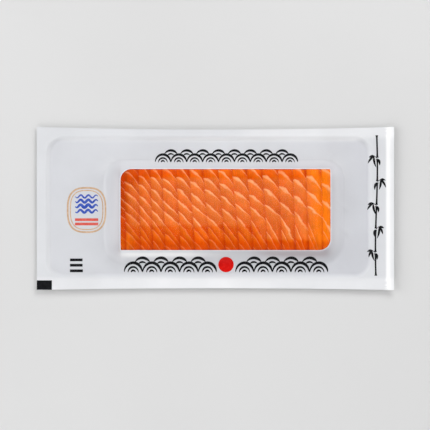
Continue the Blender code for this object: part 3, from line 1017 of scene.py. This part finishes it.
def makeClearFinish():
    finish, tree, shader = newFinish("clear_film_gloss")
    output = tree.nodes["Material Output"]
    tree.nodes.remove(shader)
    depth, strength = clearLook["relief"]
    inputs = {"Height": noise(tree, 220.0, 3.0), "Distance": depth / perMetre, "Strength": strength}
    normal = addNode(tree, "ShaderNodeBump", inputs).outputs[0]
    clear = addNode(tree, "ShaderNodeBsdfTransparent", {"Color": clearLook["tint"]})
    inputs = {"Roughness": clearLook["roughness"], "Color": (1.0, 1.0, 1.0, 1.0), "Normal": normal}
    gloss = addNode(tree, "ShaderNodeBsdfGlossy", inputs)
    fresnel = addNode(tree, "ShaderNodeFresnel", {"IOR": clearLook["ior"], "Normal": normal})
    # only the outer face reflects, so that light reaches the fish
    behind = addNode(tree, "ShaderNodeNewGeometry", {}).outputs["Backfacing"]
    share = calc(tree, "MINIMUM", fresnel.outputs[0], clearLook["mostGloss"])
    share = product(tree, share, calc(tree, "SUBTRACT", 1.0, behind))
    mixed = addNode(tree, "ShaderNodeMixShader", {0: share, 1: clear.outputs[0], 2: gloss.outputs[0]})
    tree.links.new(mixed.outputs[0], output.inputs["Surface"])
    return finish


clearEdges = grown(window["edges"], -pack["gap"])


def cornerInset(y, low, high):  # how far a side's two round corners draw the end of a row in
    _, _, bottom, top = clearEdges
    into = np.maximum(0.0, np.maximum((bottom + low - y) / low, (y - top + high) / high))
    radius = np.where(y < (bottom + top) / 2, low, high)
    return radius * (1.0 - np.sqrt(np.maximum(0.0, 1.0 - into**2)))


def windowRowEnds(y):
    left, right, _, _ = clearEdges
    lowLeft, lowRight, highRight, highLeft = window["corners"]
    return left + cornerInset(y, lowLeft, highLeft), right - cornerInset(y, lowRight, highRight)


def windowRows():  # closer together where a corner is round
    _, _, bottom, top = clearEdges
    small, large = window["corners"][0], window["corners"][1]
    bends = 1.0 - np.cos(np.linspace(0.0, 0.5 * math.pi, 10))
    ends = np.unique(np.round(np.concatenate([small * bends, large * bends]), 4))
    middle = np.arange(bottom + large + window["cell"], top - large, window["cell"])
    return np.concatenate([bottom + ends, middle, (top - ends)[::-1]])


def buildClearFilm():
    rows = windowRows()
    leftEnd, rightEnd = windowRowEnds(rows)
    left, right, _, _ = window["edges"]
    steps = int((right - left) / window["cell"])
    share = np.linspace(0.0, 1.0, steps + 1)[None, :]
    x = leftEnd[:, None] + (rightEnd - leftEnd)[:, None] * share
    y = np.repeat(rows[:, None], steps + 1, 1)
    fade = ramp(insetFrom(window["edges"], x, y), 0.0, window["sinkFade"])
    out = np.abs(2.0 * shareAcross(x, y) - 1.0)
    sink = window["sink"] * ramp(out, window["sinkFrom"], 1.0 - window["sinkFrom"])
    wrinkle = window["wrinkle"] * ripples(x, y, *window["wrinkleWaves"])
    upper = filmTop(x, y) - fade * (sink + np.abs(wrinkle))
    points, faces = slabFromGrid(x, y, upper, upper - pack["clear"])
    piece = makePiece("clear_window", points, faces, makeClearFinish())
    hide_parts("window_film")


# Print: thin layers of ink that lie on the film

inkLayer = {"lift": 0.045, "depth": 0.03}
inkLook = {
    "patches": (420.0, 4.0),
    "patchRange": (0.35, 0.75),
    "roughness": (700.0, 3.0, 0.42, 0.52),
    "grain": (1100.0, 2.0),
    "relief": (0.02, 0.5),
    "specular": 0.12,
}
inkColours = {  # darkest and lightest
    "black_ink": ((0.006, 0.006, 0.007, 1.0), (0.014, 0.014, 0.016, 1.0)),
    "red_ink": ((0.62, 0.006, 0.004, 1.0), (0.72, 0.012, 0.008, 1.0)),
    "pale_red_ink": ((0.66, 0.10, 0.08, 1.0), (0.72, 0.16, 0.13, 1.0)),
    "blue_ink": ((0.035, 0.075, 0.42, 1.0), (0.07, 0.13, 0.52, 1.0)),
    "tan_ink": ((0.55, 0.36, 0.22, 1.0), (0.66, 0.47, 0.32, 1.0)),
}


def inkSheet(x, y):
    height = filmTop(x, y)
    return slabFromGrid(x, y, height + inkLayer["lift"], height - inkLayer["depth"])


def brushStroke(path, widths, across=4):  # a stroke along a path, with its width at each point
    path = np.asarray(path, float)
    heading = np.gradient(path, axis=0)
    heading /= np.linalg.norm(heading, axis=1)[:, None]
    side = np.stack([heading[:, 1], -heading[:, 0]], -1)
    share = np.linspace(-0.5, 0.5, across + 1)
    places = path[:, None] + side[:, None] * (share[None, :] * np.asarray(widths)[:, None])[..., None]
    return inkSheet(places[..., 0], places[..., 1])


def brushWidths(steps, thick, thin=0.25, peak=0.5, power=0.7):  # thin ends, thickest at the peak
    share = np.linspace(0.0, 1.0, steps)
    bent = np.where(share < peak, share / peak / 2, 0.5 + (share - peak) / (1.0 - peak) / 2)
    return thin + (thick - thin) * np.sin(math.pi * bent) ** power


wavePrint = {
    "top": {"left": -50.7, "right": 69.6, "base": 38.5, "height": 11.4, "thick": 2.1, "count": 9},
    "bottom": {"left": -76.8, "right": 94.9, "base": -54.1, "height": 13.9, "thick": 2.5, "count": 11},
    "spans": (  # degrees that the outer arc and the inner ones span, for the two tiers
        ((4, 176), (3, 177), (10, 170)),
        ((36, 144), (46, 134)),
    ),
    "overlap": 0.97,
    "inner": (0.58, 0.24),  # radius of the inner arcs as shares of the outer one
    "innerThick": 0.68,
    "outerEnds": (0.35, 0.62),  # thickness of a stroke's ends, and where its peak is
    "innerEnds": (0.25, 0.4),
    "arcSteps": 26,
    "sunRadius": 6.5,
    "sunClear": 9.9,
}


def arcStroke(centre, wide, high, span, thick, ends):  # from right to left over the top
    steps = wavePrint["arcSteps"]
    turn = np.radians(np.linspace(span[1], span[0], steps))
    path = np.stack([centre[0] + wide * np.cos(turn), centre[1] + high * np.sin(turn)], -1)
    return brushStroke(path, brushWidths(steps, thick, *ends))


def waveRow(row, clear=None):  # tiers of overlapping wave arcs, left out near a clear place
    tiers = wavePrint["spans"]
    high = (row["height"] - row["thick"] / 2) / (1.0 + (len(tiers) - 1) / 2)
    pitch = (row["right"] - row["left"]) / row["count"]
    wide = pitch / 2 * wavePrint["overlap"]
    thin = row["thick"] * wavePrint["innerThick"]
    strokes = []
    for tier, (outer, *inner) in enumerate(tiers):
        for number in range(row["count"] - tier):
            centre = (row["left"] + (number + 0.5 + tier / 2) * pitch, row["base"] + tier * high / 2)
            if clear is not None and abs(centre[0] - clear) < wavePrint["sunClear"]:
                continue
            strokes.append(arcStroke(centre, wide, high, outer, row["thick"], wavePrint["outerEnds"]))
            for share, span in zip(wavePrint["inner"], inner):
                ends = wavePrint["innerEnds"]
                strokes.append(arcStroke(centre, wide * share, high * share, span, thin, ends))
    return strokes


def discOnFilm(centre, radius, rings=9, steps=56):
    turn = np.linspace(0.0, 2.0 * math.pi, steps, endpoint=False)
    circle = np.column_stack([np.cos(turn), np.sin(turn)])
    flat = np.concatenate([[centre]] + [centre + radius * k / rings * circle for k in range(1, rings + 1)])
    height = filmTop(flat[:, 0], flat[:, 1])
    upper = np.column_stack([flat, height + inkLayer["lift"]])
    lower = np.column_stack([flat, height - inkLayer["depth"]])
    under = len(flat)  # first point of the underside
    outer = 1 + (rings - 1) * steps  # first point of the outer ring
    faces = []
    for i in range(steps):
        j = (i + 1) % steps
        faces += [(0, 1 + i, 1 + j), (under, under + 1 + j, under + 1 + i)]
        for a in range(1, outer, steps):
            b = a + steps
            quad = (a + i, b + i, b + j, a + j)
            faces += [quad, tuple(under + number for number in quad[::-1])]
        faces.append((outer + j, outer + i, under + outer + i, under + outer + j))
    return np.concatenate([upper, lower]), faces


def buildWavePrint(black, red):
    bottom = wavePrint["bottom"]
    sun = np.array([(bottom["left"] + bottom["right"]) / 2, bottom["base"] + bottom["height"] / 2])
    makePiece("wave_print_top", *joinParts(waveRow(wavePrint["top"])), black)
    makePiece("wave_print_bottom", *joinParts(waveRow(bottom, sun[0])), black)
    makePiece("sun_print", *discOnFilm(sun, wavePrint["sunRadius"]), red)


bambooPrint = {
    "x": 135.4,
    "bottom": -57.0,
    "top": 62.0,
    "joints": 6,
    "jointGap": 1.0,
    "thick": 1.7,
    "flare": (0.80, 0.60, 8),  # a stalk is wider at its joints
    "sway": (0.8, 0.045),
    "twig": (2.8, 0.4, 2.6, 0.5),  # how far out it runs, its start and end over a joint, its width
    "leaves": ((-6.0, 4.4), (40.0, 7.6), (84.0, 9.8)),  # degrees below level, and length
    "lastLeaf": (58.0, 6.5),  # across from the twig
    "lastLeafOut": 0.7,
    "fallLuck": (-9.0, 9.0),  # what chance adds to the degrees, and what it does to the length
    "sizeLuck": (0.85, 1.1),
    "lastFallLuck": (-10.0, 14.0),
    "lastSizeLuck": (0.8, 1.1),
    "leafThick": 1.9,
    "leafShape": (0.12, 0.38, 0.9),  # thickness of its ends, where its peak is, and how full it is
    "leafBend": 0.30,
    "stalkSteps": 24,
    "twigSteps": 8,
    "leafSteps": 18,
    "seed": 4,
}


def bambooLeaf(x, y, side, fall, size):  # a slim leaf that hangs from a twig
    steps = bambooPrint["leafSteps"]
    turn = math.radians(-fall if side > 0 else 180.0 + fall)
    share = np.linspace(0.0, 1.0, steps)
    bent = turn - bambooPrint["leafBend"] * share * np.sign(math.cos(turn))
    path = np.column_stack([x + size * share * np.cos(bent), y + size * share * np.sin(bent)])
    return brushStroke(path, brushWidths(steps, bambooPrint["leafThick"], *bambooPrint["leafShape"]), 2)


def bambooTwig(x, y, side, luck):  # a short twig with a fan of leaves, and one leaf across from it
    steps = bambooPrint["twigSteps"]
    reach, foot, tip, width = bambooPrint["twig"]
    path = np.column_stack([x + side * np.linspace(0.0, reach, steps), y + np.linspace(foot, tip, steps)])
    strokes = [brushStroke(path, np.full(steps, width), 2)]
    for fall, size in bambooPrint["leaves"]:
        fall += luck.uniform(*bambooPrint["fallLuck"])
        size *= luck.uniform(*bambooPrint["sizeLuck"])
        strokes.append(bambooLeaf(*path[-1], side, fall, size))
    fall, size = bambooPrint["lastLeaf"]
    fall += luck.uniform(*bambooPrint["lastFallLuck"])
    size *= luck.uniform(*bambooPrint["lastSizeLuck"])
    return strokes + [bambooLeaf(x - side * bambooPrint["lastLeafOut"], y, -side, fall, size)]


def buildBambooPrint(black):
    luck = np.random.default_rng(bambooPrint["seed"])
    joints = np.linspace(bambooPrint["bottom"], bambooPrint["top"], bambooPrint["joints"] + 1)
    steps, gap = bambooPrint["stalkSteps"], bambooPrint["jointGap"]
    least, more, power = bambooPrint["flare"]
    flare = least + more * np.abs(np.linspace(-1.0, 1.0, steps)) ** power
    swayOut, swayRate = bambooPrint["sway"]
    strokes = []
    for number, (low, high) in enumerate(zip(joints, joints[1:])):
        y = np.linspace(low + gap / 2, high - gap / 2, steps)
        x = bambooPrint["x"] + swayOut * np.sin(y * swayRate)
        strokes.append(brushStroke(np.column_stack([x, y]), bambooPrint["thick"] * flare, 2))
        if number < bambooPrint["joints"] - 1:
            strokes += bambooTwig(x[-1], y[-1], 1 if number % 2 else -1, luck)
    makePiece("bamboo_print", *joinParts(strokes), black)


barHigh = 2.3  # height of the bars in the badge and under it

badgePrint = {
    "centre": (-108.2, -1.3),
    "half": (15.9, 18.6),
    "squareness": 0.72,  # below 1 fills the oval out towards a rounded square
    "rings": ((0.0, 1.5), (2.2, 0.9)),  # how far in, and width
    "waves": ((11.4, 1.5), (7.5, 2.2), (3.3, 2.6), (-1.0, 2.1)),  # height over the centre, and thickness
    "waveHalf": 9.6,
    "waveHeight": 1.2,
    "waveRate": 0.98,
    "waveShift": 0.12,  # from one wave to the next
    "waveEnds": (0.3, 0.45, 0.5),  # thickness of the ends, where the peak is, and how full it is
    "waveSteps": 60,
    "bars": (-9.3, -12.9),
    "barHalf": 9.8,
}


def ovalRing(inset, width, steps=150):
    turn = np.linspace(0.0, 2.0 * math.pi, steps + 1)
    sides = zip(badgePrint["centre"], badgePrint["half"], (np.cos(turn), np.sin(turn)))
    path = np.column_stack([
        middle + (half - inset) * np.sign(wave) * np.abs(wave) ** badgePrint["squareness"]
        for middle, half, wave in sides
    ])
    return brushStroke(path, np.full(steps + 1, width), 2)


def bar(left, right, bottom, top, cell=0.9):
    across = np.linspace(left, right, max(3, int((right - left) / cell) + 1))
    along = np.linspace(bottom, top, max(3, int((top - bottom) / cell) + 1))
    return inkSheet(*np.meshgrid(across, along))


def buildBadge(tan, blue, red):
    centreX, centreY = badgePrint["centre"]
    rings = [ovalRing(inset, width) for inset, width in badgePrint["rings"]]
    makePiece("badge_frame_print", *joinParts(rings), tan)
    steps = badgePrint["waveSteps"]
    across = np.linspace(-badgePrint["waveHalf"], badgePrint["waveHalf"], steps)
    waves = []
    for number, (level, thick) in enumerate(badgePrint["waves"]):
        turn = across * badgePrint["waveRate"] + badgePrint["waveShift"] * number
        along = level + badgePrint["waveHeight"] * np.sin(turn)
        path = np.column_stack([centreX + across, centreY + along])
        waves.append(brushStroke(path, brushWidths(steps, thick, *badgePrint["waveEnds"])))
    makePiece("badge_wave_print", *joinParts(waves), blue)
    half = badgePrint["barHalf"]
    feet = [centreY + low for low in badgePrint["bars"]]
    bars = [bar(centreX - half, centreX + half, low, low + barHigh) for low in feet]
    makePiece("badge_bar_print", *joinParts(bars), red)


smallPrint = {
    "left": -122.2,
    "bars": ((10.6, -44.4), (10.6, -48.9), (10.9, -53.6)),  # width and foot
    "eyeMark": (-137.2, -60.4),  # its right and top ends; it fills the pack's corner
}


def buildSmallPrint(black):
    barLeft = smallPrint["left"]
    bars = [bar(barLeft, barLeft + width, low, low + barHigh) for width, low in smallPrint["bars"]]
    makePiece("weight_bar_print", *joinParts(bars), black)
    left, _, bottom, _ = pack["edges"]
    right, top = smallPrint["eyeMark"]
    makePiece("eye_mark_print", *bar(left + 0.1, right, bottom + 0.2, top), black)


# Room: a pale floor, soft lights and the camera

paleFloor = {
    "half": 3000.0,
    "dark": (0.66, 0.66, 0.66, 1.0),
    "light": (0.69, 0.69, 0.69, 1.0),
}


def buildFloor():
    half = paleFloor["half"]
    corners = [(-half, -half, 0.0), (half, -half, 0.0), (half, half, 0.0), (-half, half, 0.0)]
    mesh = bpy.data.meshes.new("pale_floor")
    mesh.from_pydata((np.array(corners) / perMetre).tolist(), [], [(0, 1, 2, 3)])
    finish, tree, shader = newFinish("pale_floor")
    colour = mixColours(tree, mottle(tree, 3.0, 3.0), paleFloor["dark"], paleFloor["light"])
    tree.links.new(colour, shader.inputs["Base Color"])
    setShader(shader, Roughness=0.75)
    mesh.materials.append(finish)
    piece = bpy.data.objects.new("pale_floor", mesh)
    bpy.context.scene.collection.objects.link(piece)


studio = {
    "world": 0.20,
    "zenith": (0.62, 0.92),  # the room darkens overhead between these heights of its sphere
    "softLights": {  # place in metres, size, watts
        "key": ((-1.25, 0.10, 0.80), (1.1, 1.1), 12.4),
        "low_strip": ((-0.55, -1.05, 0.32), (0.9, 0.22), 3.1),
        "far_fill": ((0.35, 1.25, 0.85), (1.0, 0.6), 15.2),
        "near_fill": ((-0.2, -1.25, 0.85), (1.0, 0.6), 6.3),
        "right_fill": ((1.25, 0.05, 0.80), (1.1, 1.1), 9.6),
        "overhead": ((0.02, 0.075, 2.1), (0.56, 0.34), 0.57),
    },
    "view": (-0.0002, -0.0055, 1.6),
    "viewWidth": 0.3618,
    "sensor": 36.0,
}


def buildWorld():
    world = bpy.data.worlds.new("soft_room")
    bpy.context.scene.world = world
    world.use_nodes = True
    tree = world.node_tree
    sky = addNode(tree, "ShaderNodeTexCoord", {}).outputs["Generated"]
    height = addNode(tree, "ShaderNodeSeparateXYZ", {0: sky}).outputs["Z"]
    low, high = studio["zenith"]
    strength = rise(tree, height, high, low, 0.0, studio["world"])
    tree.nodes["Background"].inputs["Color"].default_value = (1.0, 1.0, 1.0, 1.0)
    tree.links.new(strength, tree.nodes["Background"].inputs["Strength"])


def addLight(name, place, size, watts):
    data = bpy.data.lights.new(name, "AREA")
    data.shape = "RECTANGLE"
    data.size, data.size_y = size
    data.energy = watts
    lamp = bpy.data.objects.new(name, data)
    lamp.location = place
    aim = Vector((0.0, 0.0, -1.0)) if name == "overhead" else -lamp.location
    lamp.rotation_euler = aim.to_track_quat("-Z", "Y").to_euler()
    lamp.visible_glossy = not name.endswith("fill")
    bpy.context.scene.collection.objects.link(lamp)


def addCamera():
    data = bpy.data.cameras.new("photo_view")
    data.sensor_width = studio["sensor"]
    data.lens = studio["sensor"] * studio["view"][2] / studio["viewWidth"]
    data.clip_start = 0.05
    camera = bpy.data.objects.new("photo_view", data)
    camera.location = studio["view"]
    bpy.context.scene.collection.objects.link(camera)
    bpy.context.scene.camera = camera
    bpy.context.scene.view_settings.view_transform = "Standard"


buildPrintedFilm()
print("printed film made")
buildBackFilm()
print("back film made")
buildSlices()
print("slices made")
buildClearFilm()
print("clear window made")
inks = {name: makePlainFinish(name, *colours, inkLook) for name, colours in inkColours.items()}
buildWavePrint(inks["black_ink"], inks["red_ink"])
buildBambooPrint(inks["black_ink"])
buildBadge(inks["tan_ink"], inks["blue_ink"], inks["pale_red_ink"])
buildSmallPrint(inks["black_ink"])
print("print made")
buildFloor()
buildWorld()
for lightName, settings in studio["softLights"].items():
    addLight(lightName, *settings)
addCamera()
print("floor, lights and camera placed")
